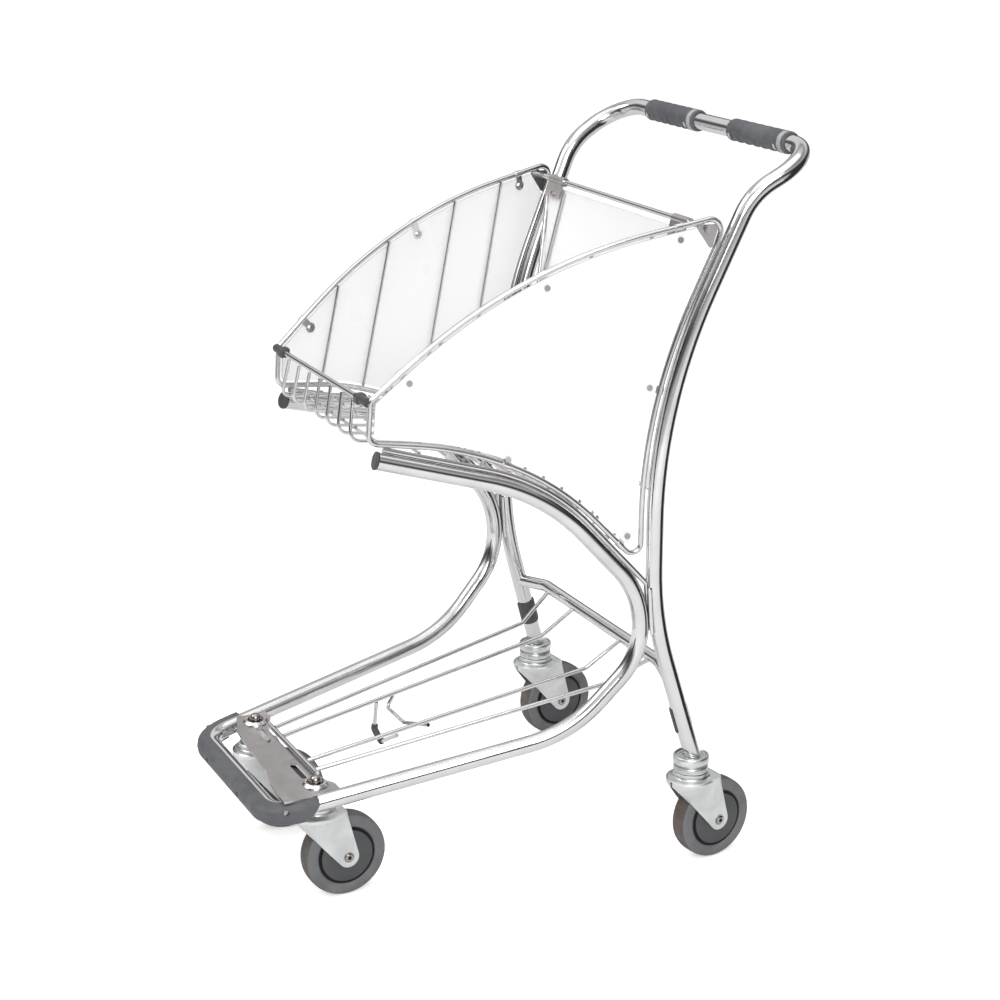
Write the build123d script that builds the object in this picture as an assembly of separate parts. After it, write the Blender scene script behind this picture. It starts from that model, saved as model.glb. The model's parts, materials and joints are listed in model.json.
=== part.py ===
from build123d import *
import math
import os

# Airport luggage trolley: a bent stainless tube frame on four swivel casters, with a low wire
# deck for suitcases, an upper basket with board sides and a gate that swings up when trolleys
# nest, a wrap-round rubber bumper and a handlebar with two grips.
#
# Frame: +Z up from the floor, -Y is the front, the user stands at +Y and pushes towards -Y.
# +X is the user's left. The origin is on the floor under the middle of the bounding box.
# Everything is in millimetres. Both sides of the frame lie in vertical planes that close in
# towards the front, so each side is drawn as (y, z) points and set on its plane.

# ---------------------------------------------------------------- driving dimensions
TUBE_R = 12.5
TUBE_WALL = 1.5
CROSSBAR_R = 9.5
LOOP_WIRE_R = 4.0
FLOOR_WIRE_R = 2.5
SIDE_WIRE_R = 2.25
DECK_ROD_R = 3.25

SIDE_HALF_WIDTH = 217.0  # half width of the side planes at y = 0
SIDE_SPLAY = 0.171  # widening of each side plane per millimetre towards the rear
SIDE_STRETCH = math.hypot(1.0, SIDE_SPLAY)

WHEEL_R = 62.5
WHEEL_WIDTH = 31.0
CASTER_TRAIL = 40.0
REAR_AXIS_Y = 228.0
FRONT_AXIS_X = 125.0
FRONT_AXIS_Y = -316.0
CASTER_TOP_Z = 147.0  # where a swivel head ends and its mount begins
COLLAR_TOP_Z = 172.0

HANDLE_Y = 392.0
HANDLE_Z = 1057.0
HANDLE_BEND_R = 60.0
GRIP_R = 16.5
GRIP_SPANS = [(-183.0, -41.0), (58.0, 209.0)]  # x at the two ends of each grip

FRONT_RUN_Y = -387.0  # centreline of the front cross run of the base tube
FRONT_RUN_Z = 155.0
BASE_SLOPE = 0.17  # rise of the lower runs per millimetre towards the rear
FRONT_BEND_R = 43.0
BUMPER_END_Y = -326.0
FRONT_SPLIT_Y = -344.0

PLATE_TOP_Z = 177.0
PLATE_T = 4.0

BOARD_T = 4.0
BOARD_GAP = 3.0

HINGE_Y = 230.0
HINGE_Z = 957.0
HINGE_ROD_R = 4.0
GATE_LEAN = 0.2  # forward lean of the closed gate per millimetre of drop
GATE_LENGTH = 392.0

RUNNING_GAP = 0.08
TOUCH = 0.05  # hairline left between a wire's end and the round face it is welded to

# (y, z) corners of the left base tube, and the bend radius at each inner corner
BASE_CORNERS = [(-234, 662), (2, 596), (145, 434), (145, 336), (42, 228)]
BASE_RADII = [300, 135, 110, 190]
# (y, z) corners of the leg, from its foot to the tangent where the handlebar piece starts
LEG_SPLIT = 0.31  # where the leg piece ends, as a share of the straight run up to the handle
LEG_CORNERS = [(232.5, 160), (164, 396), (164, 712), (293, 1001)]
LEG_CORNERS.append(
    (
        LEG_CORNERS[-1][0] + LEG_SPLIT * (HANDLE_Y - LEG_CORNERS[-1][0]),
        LEG_CORNERS[-1][1] + LEG_SPLIT * (HANDLE_Z - LEG_CORNERS[-1][1]),
    )
)
LEG_RADII = [520, 800, 95]
# (y, z) corners of the closed wire loop round each basket side, clockwise from the front top
LOOP_CORNERS = [
    (-242, 746),
    (-42, 916),
    (256, 974),
    (244.2, 934),
    (144, 709.5),
    (143, 476),
    (17, 612),
    (-123, 671),
    (-246, 687),
]
LOOP_RADII = [10, 750, 16, 60, 760, 13, 400, 480, 14]

os.makedirs("parts", exist_ok=True)


# ---------------------------------------------------------------- helpers
def side_x(y):
    """Half width of the trolley at a given y, measured to a side plane."""
    return SIDE_HALF_WIDTH + SIDE_SPLAY * y


SIDE = Plane(origin=(SIDE_HALF_WIDTH, 0, 0), x_dir=(SIDE_SPLAY, 1, 0), z_dir=(1, -SIDE_SPLAY, 0))


def flat(points):
    """(y, z) points turned into coordinates of the side plane."""
    return [(y * SIDE_STRETCH, z) for y, z in points]


def side_path(points, radii, close=False):
    """A filleted line on the left side plane."""
    return SIDE.location * FilletPolyline(*flat(points), radius=radii, close=close)


def side_point(y, z, out=0.0):
    """A 3-D point on the left side plane, moved outwards by out."""
    return SIDE.from_local_coords(Vector(y * SIDE_STRETCH, z, out))


def mirrored(shape):
    return mirror(shape, about=Plane.YZ)


def both(shape):
    """A left-hand solid and its mirror image."""
    return [shape, mirrored(shape)]


def section_plane(path):
    return Plane(origin=path @ 0, z_dir=path % 0)


def rod(path, radius):
    return sweep(section_plane(path) * Circle(radius), path=path)


def pipe(path, radius, wall):
    return sweep(section_plane(path) * (Circle(radius) - Circle(radius - wall)), path=path)


def bent_rod(points, radius, bend):
    """A wire through 3-D points; the same bend radius at each inner corner."""
    return rod(FilletPolyline(*points, radius=bend), radius)


def bar_between(start, end, radius):
    start = Vector(*start) if isinstance(start, tuple) else start
    end = Vector(*end) if isinstance(end, tuple) else end
    return rod(Line(start, end), radius)


def disc(centre, direction, radius, height):
    """A cylinder standing on centre and reaching height along direction."""
    return extrude(Plane(origin=centre, z_dir=direction) * Circle(radius), amount=height)


def hexagon(centre, direction, across_flats, height):
    radius = across_flats / math.sqrt(3)
    sketch = Plane(origin=centre, z_dir=direction) * RegularPolygon(radius, 6)
    return extrude(sketch, amount=height)


def save(name, *solids):
    """Writes one STEP file holding one solid or a group of separate solids."""
    parts = []
    for solid in solids:
        parts.extend(solid.solids())
    shape = parts[0] if len(parts) == 1 else Compound(children=parts)
    shape.label = name
    export_step(shape, f"parts/{name}.step")


# ---------------------------------------------------------------- tube frame
def lower_run_point(y):
    """Centre of the base tube on its straight lower run."""
    return side_point(y, FRONT_RUN_Z + BASE_SLOPE * (y - FRONT_RUN_Y))


def base_tube_path():
    split = lower_run_point(FRONT_SPLIT_Y)
    return side_path(BASE_CORNERS + [(split.Y, split.Z)], BASE_RADII)


def front_run_path(start_y):
    start = lower_run_point(start_y)
    corner = Vector(side_x(FRONT_RUN_Y), FRONT_RUN_Y, FRONT_RUN_Z)
    points = [start, corner, Vector(-corner.X, corner.Y, corner.Z), Vector(-start.X, start.Y, start.Z)]
    return FilletPolyline(*points, radius=FRONT_BEND_R)


def handlebar_path():
    start = side_point(*LEG_CORNERS[-1])
    corner = Vector(side_x(HANDLE_Y), HANDLE_Y, HANDLE_Z)
    points = [start, corner, Vector(-corner.X, corner.Y, corner.Z), Vector(-start.X, start.Y, start.Z)]
    return FilletPolyline(*points, radius=HANDLE_BEND_R)


base_path = base_tube_path()
base_solid = rod(base_path, TUBE_R)
leg_path = side_path(LEG_CORNERS, LEG_RADII)
leg_solid = rod(leg_path, TUBE_R)
front_solid = rod(front_run_path(FRONT_SPLIT_Y), TUBE_R)


def frame_tubes():
    left_base = pipe(base_path, TUBE_R, TUBE_WALL)
    left_leg = pipe(leg_path, TUBE_R, TUBE_WALL)
    save("base_tube_left", left_base)
    save("base_tube_right", mirrored(left_base))
    save("base_tube_front", pipe(front_run_path(FRONT_SPLIT_Y), TUBE_R, TUBE_WALL))
    save("leg_tube_left", left_leg)
    save("leg_tube_right", mirrored(left_leg))
    save("handlebar_tube", pipe(handlebar_path(), TUBE_R, TUBE_WALL))


CROSSBAR_Y = 211.0
CROSSBAR_Z = 296.0
CROSSBAR_BEND_X = 185.0
CROSSBAR_END = (250.4, 196.0, 287.0)


def crossbar():
    """Tube between the legs, set a little behind them, with its ends bent in and welded on."""
    end_x, end_y, end_z = CROSSBAR_END
    points = [
        (-end_x, end_y, end_z),
        (-CROSSBAR_BEND_X, CROSSBAR_Y, CROSSBAR_Z),
        (CROSSBAR_BEND_X, CROSSBAR_Y, CROSSBAR_Z),
        (end_x, end_y, end_z),
    ]
    path = FilletPolyline(*points, radius=40)
    tube = pipe(path, CROSSBAR_R, TUBE_WALL) - leg_solid - mirrored(leg_solid)
    longest = max(tube.solids(), key=lambda piece: piece.volume)
    save("crossbar_tube", longest)


WELD_R = 3.4
WELD_OFFSET = 9.0  # distance of each bead from the side plane
WELD_LOW = (160.0, 372.0)
WELD_HIGH = (155.0, 441.0)
WELD_WEB = [(146.5, 592), (153.5, 592), (153.5, 655), (146.5, 655)]
WEB_HALF_T = 1.5


def frame_welds():
    """Weld beads between base tube and leg, and the web that joins loop and leg."""
    beads = []
    for side in (-WELD_OFFSET, WELD_OFFSET):
        low, high = side_point(*WELD_LOW, side), side_point(*WELD_HIGH, side)
        bead = bar_between(low, high, WELD_R) - base_solid - leg_solid
        beads.append(max(bead.solids(), key=lambda piece: piece.volume))
    web_face = SIDE * make_face(Polyline(*flat(WELD_WEB), close=True))
    web_block = extrude(web_face, amount=WEB_HALF_T, both=True) - leg_solid - loop_solid
    web_weld = max(web_block.solids(), key=lambda piece: piece.volume)
    solids = []
    for weld in (*beads, web_weld):
        solids.extend(both(weld))
    save("frame_welds", *solids)


def tube_end_caps():
    """Plastic plugs in the upper front ends of the base tubes."""
    start = base_path @ 0
    outward = -(base_path % 0)
    head = disc(start, outward, TUBE_R + 0.5, 5)
    far_face = max(head.faces(), key=lambda face: (face.center() - start).length)
    head = fillet(far_face.edges(), 2.2)
    stem = disc(start, -outward, TUBE_R - TUBE_WALL, 12)
    save("tube_end_caps", *both(head + stem))


CLIP_LOW = (217.4, 212.0)
CLIP_HIGH = (206.4, 250.0)
CLIP_WALL = 2.0
CLIP_MOUTH_TURN = 35.0  # degrees that the open side is turned from outwards to rearwards


def leg_clips():
    """Open plastic sleeves clipped on the inner side of each leg, where nested trolleys rub."""
    low, high = side_point(*CLIP_LOW), side_point(*CLIP_HIGH)
    length = (high - low).length
    axis = (high - low).normalized()
    sleeve = disc(low, axis, TUBE_R + CLIP_WALL, length)
    sleeve -= disc(low - axis, axis, TUBE_R, length + 2)
    foot = Plane(origin=low, x_dir=(1, 0, 0), z_dir=axis)
    mouth = foot * Rot(0, 0, CLIP_MOUTH_TURN) * Pos(TUBE_R + 6, 0, length / 2) * Box(20, 60, 2 * length)
    save("leg_clips", *both(sleeve - mouth - leg_solid))


GRIP_RING = 9.0
GRIP_FLANGE = 5.0


def grips():
    """Moulded grips, each with a bright ring and a thin flange at its left end."""
    across = Vector(1, 0, 0)
    bodies, rings = [], []
    for low, high in GRIP_SPANS:
        ring_x = high - GRIP_FLANGE - GRIP_RING
        core = disc((low - 1, HANDLE_Y, HANDLE_Z), across, TUBE_R, high - low + 2)
        body = disc((low, HANDLE_Y, HANDLE_Z), across, GRIP_R, ring_x - low)
        body = fillet(body.faces().sort_by(Axis.X)[0].edges(), 3)
        flange = disc((high - GRIP_FLANGE, HANDLE_Y, HANDLE_Z), across, GRIP_R - 1.0, GRIP_FLANGE)
        ring = disc((ring_x, HANDLE_Y, HANDLE_Z), across, GRIP_R, GRIP_RING)
        bodies.extend([body - core, flange - core])
        rings.append(ring - core)
    save("handle_grips", *bodies)
    save("grip_end_rings", *rings)


# ---------------------------------------------------------------- bumper, plate and deck
# (reach, height) corners of the rubber's section about the tube's centreline
BUMPER_SECTION = [(1, 12.9), (13, 12.3), (21, 7), (23.5, -1), (23, -10), (16, -15.5), (-3, -15.5)]
BUMPER_CUT_Y = -352.0  # where the slanted ends leave the underside
BUMPER_SCREWS = [(167.5, -377, 163), (52, -406.5, 150), (-80, -406.5, 150), (-167.5, -377, 163)]


def bumper_solid():
    """Rubber profile wrapped round the outer half of the front run, with slanted ends."""
    path = front_run_path(BUMPER_END_Y)
    outward = Vector(0, 0, 1).cross(path % 0)
    section = Plane(origin=path @ 0, x_dir=outward, z_dir=path % 0)
    face = make_face(Polyline(*BUMPER_SECTION, close=True))
    body = fillet(face.vertices().filter_by(lambda v: v.X > 5), 4) - Circle(TUBE_R)
    rubber = sweep(section * body, path=path)
    end_z = lower_run_point(BUMPER_END_Y).Z
    slant = [
        (BUMPER_END_Y + 20, end_z + 40),
        (BUMPER_END_Y, end_z + 14),
        (BUMPER_CUT_Y, end_z - 22),
        (BUMPER_END_Y + 20, end_z - 60),
    ]
    wedge_plane = Plane(origin=(-300, 0, 0), x_dir=(0, 1, 0), z_dir=(1, 0, 0))
    wedge = extrude(wedge_plane * make_face(Polyline(*slant, close=True)), amount=600)
    return max((rubber - wedge).solids(), key=lambda piece: piece.volume)


def bumper():
    rubber = bumper_solid()
    heads = []
    holes = []
    for x, y, z in BUMPER_SCREWS:
        outward = Vector(x, 0, 0).normalized() if abs(x) > 100 else Vector(0, -1, 0)
        root = Vector(x, y, z)
        heads.append(disc(root - outward * 3.4, outward, 4.0, 4.4))
        holes.append(disc(root - outward * 3.4, outward, 4.0, 30))
    for hole in holes:
        rubber -= hole
    save("bumper_rubber", rubber)
    save("bumper_screws", *heads)


# (x, y) of the plate's front edge, from its right end to its left end
PLATE_FRONT = [(-163, -333), (-107, -352), (-50, -358), (40, -361), (91, -372), (138, -377), (160, -377)]
PLATE_REAR_Y = (-289.0, -309.0)  # rear edge at its ends and in its middle
PLATE_WAIST_X = 60.0
SLOT_X = 70.0
SLOT_Y = -321.0


def front_plate():
    """Stainless plate between the base tubes that carries the two front casters."""
    rear_end, rear_mid = PLATE_REAR_Y
    half_rear = side_x(rear_end)
    points = PLATE_FRONT + [
        (half_rear, rear_end),
        (half_rear - 36, rear_end),
        (PLATE_WAIST_X + 34, rear_mid),
        (-PLATE_WAIST_X - 34, rear_mid),
        (-half_rear + 36, rear_end),
        (-half_rear, rear_end),
    ]
    face = make_face(Polyline(*points, close=True))
    face = fillet(face.vertices().filter_by(lambda v: abs(v.X) < half_rear - 20), 10)
    plate = extrude(Pos(0, 0, PLATE_TOP_Z - PLATE_T) * face, amount=PLATE_T)
    for x in (-SLOT_X, SLOT_X):
        slot = Pos(x, SLOT_Y, PLATE_TOP_Z - PLATE_T) * SlotOverall(60, 11)
        plate -= extrude(slot, amount=PLATE_T)
    for x in (-FRONT_AXIS_X, FRONT_AXIS_X):
        plate -= disc((x, FRONT_AXIS_Y, PLATE_TOP_Z - PLATE_T), (0, 0, 1), KINGPIN_R, PLATE_T)
    plate -= bumper_solid()
    for tube in (base_solid, front_solid):
        plate = plate - tube - mirrored(tube)
    save("front_plate", max(plate.solids(), key=lambda piece: piece.volume))


KINGPIN_R = 6.0
WASHER_R = 19.0
WASHER_T = 5.0


CUP_FLOOR_T = 1.2
CUP_WELL_R = 12.5


def front_caster_hardware():
    """Cup washers and the dome nuts that sit in their wells on the front kingpins."""
    washers, nuts = [], []
    profile = [
        (KINGPIN_R, 0),
        (WASHER_R, 0),
        (WASHER_R, 1.5),
        (WASHER_R - 3.5, WASHER_T),
        (CUP_WELL_R + 1, WASHER_T),
        (CUP_WELL_R, CUP_FLOOR_T),
        (KINGPIN_R, CUP_FLOOR_T),
    ]
    cup = revolve(Plane.XZ * make_face(Polyline(*profile, close=True)), Axis.Z)
    for x in (-FRONT_AXIS_X, FRONT_AXIS_X):
        washers.append(Pos(x, FRONT_AXIS_Y, PLATE_TOP_Z) * cup)
        seat = PLATE_TOP_Z + CUP_FLOOR_T
        nut = hexagon((x, FRONT_AXIS_Y, seat), (0, 0, 1), 19, 5)
        dome = Pos(x, FRONT_AXIS_Y, seat + 5) * Sphere(8.5)
        dome -= Pos(x, FRONT_AXIS_Y, seat - 5) * Box(40, 40, 20)
        bore = disc((x, FRONT_AXIS_Y, seat), (0, 0, 1), KINGPIN_R, 8)
        nuts.append(nut + dome - bore)
    save("cup_washers", *washers)
    save("dome_nuts", *nuts)


DECK_FRONT_Y = -299.0
DECK_FRONT_Z = PLATE_TOP_Z + DECK_ROD_R + 0.05
DECK_SLOPE = 0.17
DECK_BEND_Y = 146.0
DECK_OUTER = (84.6, 141.4, 165.0)  # x at the front end, at the bend and at the crossbar
DECK_INNER = (49.8, 74.5, 77.0)


def deck_z(y):
    return DECK_FRONT_Z + DECK_SLOPE * (y - DECK_FRONT_Y)


def deck_rods():
    """Four rods from the front plate to the crossbar, kinked up at their rear ends."""
    rods = []
    crossbar_solid = bar_between(
        (-CROSSBAR_BEND_X, CROSSBAR_Y, CROSSBAR_Z), (CROSSBAR_BEND_X, CROSSBAR_Y, CROSSBAR_Z), CROSSBAR_R
    )
    for x_front, x_bend, x_end in (DECK_OUTER, DECK_INNER):
        points = [
            (x_front, DECK_FRONT_Y, DECK_FRONT_Z),
            (x_bend, DECK_BEND_Y, deck_z(DECK_BEND_Y)),
            (x_end, CROSSBAR_Y - 4, CROSSBAR_Z - 2),
        ]
        wire = bent_rod(points, DECK_ROD_R, 16) - crossbar_solid
        rods.append(max(wire.solids(), key=lambda piece: piece.volume))
    save("deck_rods", *both(rods[0]), *both(rods[1]))


DECK_BAR_R = 4.0


def deck_cross_wire():
    """Wire that lies across the plate and takes the front ends of the deck rods."""
    y = DECK_FRONT_Y - DECK_BAR_R - DECK_ROD_R * DECK_SLOPE - TOUCH
    z = PLATE_TOP_Z + DECK_BAR_R + TOUCH
    save("deck_cross_wire", bar_between((-98, y, z), (98, y, z), DECK_BAR_R))


HOOK_R = 3.0
HOOK_BEND = 7.0
SLEEVE_WALL = 2.4


def inner_rod_x(y):
    x_front, x_bend, _ = DECK_INNER
    return x_front + (x_bend - x_front) * (y - DECK_FRONT_Y) / (DECK_BEND_Y - DECK_FRONT_Y)


def deck_hooks():
    """Two wires that hang between the inner deck rods, the front one with a rubber sleeve."""
    drop = DECK_ROD_R + HOOK_R
    front_hook = [
        (-inner_rod_x(-144), -144, deck_z(-144) - DECK_ROD_R - TOUCH),
        (-inner_rod_x(-144), -148, 160),
        (-30, -149, 150),
        (inner_rod_x(-160), -160, deck_z(-160) - drop - 1.0),
    ]
    rear_hook = [
        (-inner_rod_x(-115), -115, deck_z(-115) - DECK_ROD_R - TOUCH),
        (-inner_rod_x(-115), -126, 191),
        (6, -126, 191),
        (inner_rod_x(-110), -110, deck_z(-110) - drop - 1.0),
    ]
    inner_rod = bar_between(
        (DECK_INNER[0], DECK_FRONT_Y, DECK_FRONT_Z),
        (DECK_INNER[1], DECK_BEND_Y, deck_z(DECK_BEND_Y)),
        DECK_ROD_R + TOUCH,
    )
    hooks = []
    for points in (front_hook, rear_hook):
        hook = bent_rod(points, HOOK_R, HOOK_BEND) - inner_rod - mirrored(inner_rod)
        hooks.append(max(hook.solids(), key=lambda piece: piece.volume))
    save("deck_hooks", *hooks)
    sleeve_points = [
        Vector(*front_hook[1]) + (Vector(*front_hook[0]) - Vector(*front_hook[1])) * 0.35,
        Vector(*front_hook[1]),
        Vector(*front_hook[2]),
        Vector(*front_hook[2]) + (Vector(*front_hook[3]) - Vector(*front_hook[2])) * 0.2,
    ]
    path = FilletPolyline(*sleeve_points, radius=HOOK_BEND)
    save("hook_sleeve", pipe(path, HOOK_R + SLEEVE_WALL, SLEEVE_WALL))


# ---------------------------------------------------------------- basket
loop_path = side_path(LOOP_CORNERS, LOOP_RADII, close=True)
loop_solid = rod(loop_path, LOOP_WIRE_R)

# (y, z) of each board screw; every clip reaches from the loop to its screw
SCREW_POINTS = [(-189, 768), (2, 887.5), (190.5, 943.5), (150.5, 737), (-52, 650), (122, 522)]
# (y, z) ends of the upright wires on the inner face of each board
UPRIGHTS = [
    ((-176, 677.5), (-141, 826)),
    ((-102, 665), (-51, 883)),
    ((2, 620), (68.3, 932)),
    ((73, 556), (153.6, 953)),
]


def loop_point_near(y, z):
    """The point of the loop's centreline nearest to (y, z), and the direction there."""
    target = side_point(y, z)
    steps = 400
    best = min(range(steps), key=lambda i: ((loop_path @ (i / steps)) - target).length)
    return loop_path @ (best / steps), loop_path % (best / steps)


def side_loops():
    save("side_loop_left", loop_solid)
    save("side_loop_right", mirrored(loop_solid))


def side_wires():
    """Uprights inside each board, and the long wire that seats the loop on the base tube."""
    wires = []
    inset = -(LOOP_WIRE_R + SIDE_WIRE_R + TOUCH)
    for low, high in UPRIGHTS:
        wires.append(bar_between(side_point(*low, inset), side_point(*high, inset), SIDE_WIRE_R))
    lift = TUBE_R + LOOP_WIRE_R + TOUCH
    seat = [(-226, 677.4), (5.5, 612.6), (160.5, 438)]
    seat_path = side_path(seat, [BASE_RADII[0] + lift])
    seat_wire = rod(seat_path.trim(0, 0.97), LOOP_WIRE_R) - base_solid - leg_solid - loop_solid
    wires.append(max(seat_wire.solids(), key=lambda piece: piece.volume))
    solids = []
    for wire in wires:
        solids.extend(both(wire))
    save("side_wires", *solids)


CLIP_T = 1.8
NUT_T = 3.0
BRACKET = [(212, 962), (246, 962), (236, 926)]
# (y, z) corners of the piece cut off the board's rear top corner, in front of the bracket
BOARD_NOTCH = [(193, 986), (251, 900), (290, 900), (290, 1000)]


def clip_parts():
    """Wire clips, screws and nuts of the left board, and the shank that pierces it."""
    clips, screws, shanks = [], [], []
    outward = SIDE.z_dir
    tab_low = -BOARD_T / 2 - CLIP_T
    for y, z in SCREW_POINTS:
        centre, tangent = loop_point_near(y, z)
        screw = side_point(y, z)
        reach = (screw - centre).length
        inward = (screw - centre).normalized()
        low = tab_low - NUT_T
        shank = disc(screw + outward * low, outward, 2.0, BOARD_T / 2 - low)
        head = disc(screw + outward * (BOARD_T / 2), outward, 4.2, 2.2)
        nut = hexagon(screw + outward * low, outward, 7, NUT_T)
        ring = disc(centre - tangent * 5, tangent, LOOP_WIRE_R + CLIP_T - 0.6, 10)
        tab = disc(screw + outward * tab_low, outward, 7.5, CLIP_T)
        middle = centre + inward * (reach / 2) + outward * (tab_low + CLIP_T / 2)
        arm = Plane(origin=middle, x_dir=inward, z_dir=outward) * Box(reach, 10, CLIP_T)
        fastener = shank + head + nut
        clip = ring + tab + arm - loop_solid - fastener
        clips.append(max(clip.solids(), key=lambda piece: piece.volume))
        screws.append(fastener)
        shanks.append(shank)
    return clips, screws, shanks


def side_boards():
    outline = FilletPolyline(*flat(LOOP_CORNERS), radius=LOOP_RADII, close=True)
    face = offset(make_face(outline), amount=-(LOOP_WIRE_R + BOARD_GAP))
    board = extrude(SIDE * face, amount=BOARD_T / 2, both=True)
    board -= extrude(SIDE * make_face(Polyline(*flat(BOARD_NOTCH), close=True)), amount=10, both=True)
    board -= rail_joint_block()
    clips, screws, shanks = clip_parts()
    for shank in shanks:
        board -= shank
    board = max(board.solids(), key=lambda piece: piece.volume)
    save("side_board_left", board)
    save("side_board_right", mirrored(board))
    save("board_clips", *[solid for clip in clips for solid in both(clip)])
    save("board_screws", *[solid for screw in screws for solid in both(screw)])


RAIL_Y = -245.0
RAIL_Z = 744.0
FLOOR_WIRE_COUNT = 7
BAR_TOP_STEP = 40.7
BAR_LOW_STEP = 44.0
# (y, z) corners of the basket floor on its centreline, from the front bend to the rear lip
FLOOR_CORNERS = [(-245.5, 738), (-256, 682), (-123, 667), (17, 608), (128, 492), (169, 584)]
FLOOR_RADII = [14, 480, 400, 14]
CROSS_WIRE_STEPS = [0.165, 0.23, 0.30, 0.38, 0.46, 0.54, 0.62, 0.70, 0.78]


def floor_wires():
    """Seven wires that form front bars, floor and rear lip, and the wires laid across them."""
    wires = []
    y_top, y_low, y_last = FLOOR_CORNERS[0][0], FLOOR_CORNERS[1][0], FLOOR_CORNERS[-1][0]
    fan = SIDE_SPLAY / side_x(y_low)
    for index in range(FLOOR_WIRE_COUNT):
        bar = index - FLOOR_WIRE_COUNT // 2
        points = [(bar * BAR_LOW_STEP * (1 + fan * (y - y_low)), y, z) for y, z in FLOOR_CORNERS]
        points[0] = (bar * BAR_TOP_STEP, y_top, FLOOR_CORNERS[0][1])
        wires.append(rod(FilletPolyline(*points, radius=FLOOR_RADII), FLOOR_WIRE_R))
    profile = FilletPolyline(*FLOOR_CORNERS, radius=FLOOR_RADII)
    for step in CROSS_WIRE_STEPS:
        spot, along = profile @ step, profile % step
        below = 2 * FLOOR_WIRE_R + TOUCH
        y = spot.X + along.Y * below
        z = spot.Y - along.X * below
        half = side_x(y) - LOOP_WIRE_R - TOUCH - 1.0
        wires.append(bar_between((-half, y, z), (half, y, z), FLOOR_WIRE_R))
    lip_z = FLOOR_CORNERS[-1][1] - 1
    lip_y = y_last - 2 * FLOOR_WIRE_R - 0.8
    lip_half = side_x(lip_y) - TUBE_R - 1.0
    wires.append(bar_between((-lip_half, lip_y, lip_z), (lip_half, lip_y, lip_z), FLOOR_WIRE_R))
    save("basket_floor_wires", *wires)


JOINT_INSET = 29.0  # from the loop to the middle of the block
JOINT_BLOCK = (16.0, 16.0, 15.0)
JOINT_NECK_R = 6.5


def rail_joint_block():
    """Plastic block at the rail's end, with a neck that reaches the loop's front top corner."""
    middle = Vector(side_x(RAIL_Y) - JOINT_INSET, RAIL_Y, RAIL_Z)
    block = Pos(*middle) * Box(*JOINT_BLOCK)
    block = fillet(block.edges(), 4)
    neck = disc(middle, (1, 0, 0), JOINT_NECK_R, JOINT_INSET)
    return block + neck


def front_rail():
    """Top wire of the basket front and the plastic joints that hold its ends."""
    reach = side_x(RAIL_Y) - JOINT_INSET + 4
    rail = bar_between((-reach, RAIL_Y, RAIL_Z), (reach, RAIL_Y, RAIL_Z), LOOP_WIRE_R)
    save("front_rail", rail)
    joint = rail_joint_block() - rail - loop_solid
    save("rail_corner_joints", *both(max(joint.solids(), key=lambda piece: piece.volume)))


# ---------------------------------------------------------------- gate
def hinge_parts():
    """Corner brackets of the loops and the rod that the gate hangs on."""
    half = side_x(HINGE_Y) + 5
    hinge_rod = bar_between((-half, HINGE_Y, HINGE_Z), (half, HINGE_Y, HINGE_Z), HINGE_ROD_R)
    for sign in (-1, 1):
        hinge_rod += disc((sign * half, HINGE_Y, HINGE_Z), (sign, 0, 0), 6.5, 4)
    face = make_face(Polyline(*flat(BRACKET), close=True))
    plate = extrude(SIDE * fillet(face.vertices(), 3), amount=1.5, both=True)
    plate = plate - loop_solid - hinge_rod
    save("hinge_rod", hinge_rod)
    save("hinge_brackets", *both(max(plate.solids(), key=lambda piece: piece.volume)))


GATE_TOP_HALF = 217.0
GATE_LOW_HALF = 150.0
GATE_WIRE_R = 3.0
GATE_TOP_DROP = 16.0
GATE_BRACE = [(162.0, 16.0), (185.0, 190.0)]  # (x, drop) at the two ends of each brace
GATE_BOARD_T = 3.0
HANGER_X = (166.0, 210.0)
EYE_R = 6.6


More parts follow.
